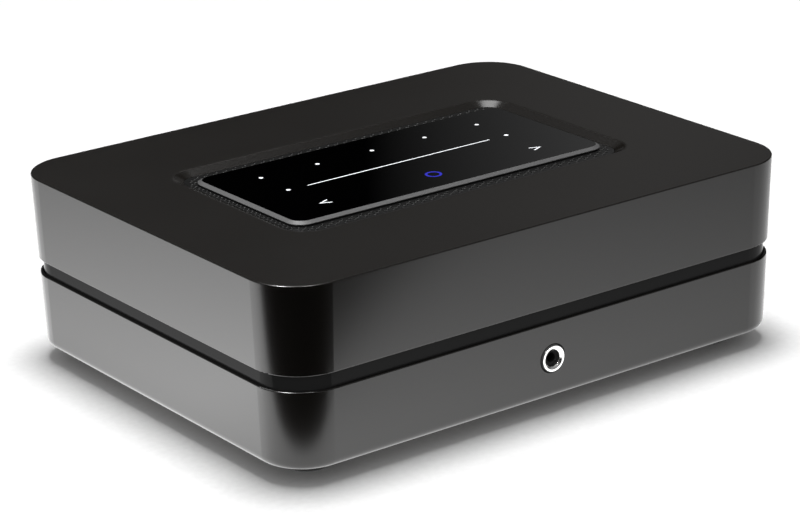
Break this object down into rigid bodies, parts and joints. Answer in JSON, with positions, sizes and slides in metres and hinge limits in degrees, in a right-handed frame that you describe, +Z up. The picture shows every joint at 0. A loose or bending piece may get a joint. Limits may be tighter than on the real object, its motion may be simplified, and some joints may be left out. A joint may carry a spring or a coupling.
{
  "type": "streaming amplifier",
  "caption": "Compact two-shell streaming amplifier with a recessed touch panel on top, a front headphone socket and screw-down speaker posts at the back.",
  "frame": {"origin": "on the floor under the middle of the outside box, speaker nuts included", "axes": "+X to the right along the front, -Y towards the front, +Z up"},
  "size_m": [0.22, 0.19, 0.07],
  "materials": {
    "shell_satin": "satin black paint with a fine soft sheen",
    "band_satin": "satin black",
    "foot_rubber": "matt",
    "zinc_steel": "zinc plated",
    "black_steel": "blackened",
    "grille_black": "satin black",
    "moulded_black": "satin moulded",
    "bezel_grey": "dark grey anodised, fine satin",
    "panel_glass": "gloss, printed black on its back",
    "board_green": "solder mask",
    "light_guide": "frosted, lit blue",
    "lamp_white": "clear",
    "ribbon_film": "amber film",
    "moulded_cream": "moulded",
    "ring_chrome": "polished",
    "rear_black": "fine texture black",
    "pin_nickel": "nickel plated",
    "can_steel": "tinned",
    "contact_gold": "gold plated",
    "moulded_purple": "moulded",
    "pillar_brass": "turned",
    "core_ferrite": "ferrite",
    "winding_tape": "yellow tape over copper",
    "winding_copper": "enamelled copper",
    "capacitor_blue": "cast",
    "capacitor_sleeve": "shrink sleeve",
    "fuse_ceramic": "ceramic with nickel clips",
    "chip_black": "moulded",
    "sink_aluminium": "extruded",
    "lead_red": "insulation",
    "nut_red": "moulded",
    "nut_black": "moulded"
  },
  "bodies": {
    "root": {"upper_housing": "shell_satin", "lower_housing": "shell_satin", "centre_band": "band_satin", "rubber_feet": "foot_rubber", "case_screws": "zinc_steel", "vent_grille": "grille_black", "panel_tray": "moulded_black", "panel_bezel": "bezel_grey", "touch_glass": "panel_glass", "touch_board": "board_green", "status_ring": "light_guide", "panel_lamps": "lamp_white", "panel_screws": "zinc_steel", "panel_ribbon": "ribbon_film", "board_connectors": "moulded_cream", "headphone_ring": "ring_chrome", "headphone_socket": "moulded_black", "rear_panel": "rear_black", "rear_panel_screws": "black_steel", "mains_inlet": "moulded_black", "mains_pins": "pin_nickel", "network_socket": "can_steel", "network_contacts": "contact_gold", "tv_audio_socket": "can_steel", "tv_audio_tongue": "moulded_black", "data_socket": "can_steel", "data_tongue": "moulded_cream", "audio_input_socket": "moulded_black", "sub_output_body": "moulded_purple", "sub_output_barrel": "contact_gold", "speaker_posts": "contact_gold", "post_collars": "moulded_black", "post_lock_nuts": "pin_nickel", "power_board": "board_green", "main_board": "board_green", "amplifier_board": "board_green", "board_screws": "zinc_steel", "board_pillars": "pillar_brass", "transformer_core": "core_ferrite", "transformer_winding": "winding_tape", "mains_choke": "winding_copper", "filter_capacitor": "capacitor_blue", "bulk_capacitors": "capacitor_sleeve", "mains_fuse": "fuse_ceramic", "output_coils": "core_ferrite", "amplifier_chips": "chip_black", "heatsink": "sink_aluminium", "processor_shield": "can_steel", "wireless_module": "can_steel", "wireless_antennas": "board_green", "power_leads": "lead_red"},
    "clamp_1": {"clamp_washer_1": "contact_gold"},
    "nut_1": {"speaker_nut_1": "nut_black"},
    "clamp_2": {"clamp_washer_2": "contact_gold"},
    "nut_2": {"speaker_nut_2": "nut_red"},
    "clamp_3": {"clamp_washer_3": "contact_gold"},
    "nut_3": {"speaker_nut_3": "nut_black"},
    "clamp_4": {"clamp_washer_4": "contact_gold"},
    "nut_4": {"speaker_nut_4": "nut_red"}
  },
  "joints": [
    {"name": "nut_1_travel", "type": "slide", "parent": "root", "child": "clamp_1", "axis": [0, 1, 0], "range_m": [0, 0.004]},
    {"name": "nut_1_turn", "type": "hinge", "parent": "clamp_1", "child": "nut_1", "pos_m": [0.008, 0.0847, 0.046], "axis": [0, 1, 0], "range_deg": [0, 1440]},
    {"name": "nut_2_travel", "type": "slide", "parent": "root", "child": "clamp_2", "axis": [0, 1, 0], "range_m": [0, 0.004]},
    {"name": "nut_2_turn", "type": "hinge", "parent": "clamp_2", "child": "nut_2", "pos_m": [0.027, 0.0847, 0.046], "axis": [0, 1, 0], "range_deg": [0, 1440]},
    {"name": "nut_3_travel", "type": "slide", "parent": "root", "child": "clamp_3", "axis": [0, 1, 0], "range_m": [0, 0.004]},
    {"name": "nut_3_turn", "type": "hinge", "parent": "clamp_3", "child": "nut_3", "pos_m": [0.046, 0.0847, 0.046], "axis": [0, 1, 0], "range_deg": [0, 1440]},
    {"name": "nut_4_travel", "type": "slide", "parent": "root", "child": "clamp_4", "axis": [0, 1, 0], "range_m": [0, 0.004]},
    {"name": "nut_4_turn", "type": "hinge", "parent": "clamp_4", "child": "nut_4", "pos_m": [0.065, 0.0847, 0.046], "axis": [0, 1, 0], "range_deg": [0, 1440]}
  ],
  "couplings": [
    {"joint": "nut_1_turn", "follows": "nut_1_travel", "rad_per_m": 6283.2},
    {"joint": "nut_2_turn", "follows": "nut_2_travel", "rad_per_m": 6283.2},
    {"joint": "nut_3_turn", "follows": "nut_3_travel", "rad_per_m": 6283.2},
    {"joint": "nut_4_turn", "follows": "nut_4_travel", "rad_per_m": 6283.2}
  ]
}
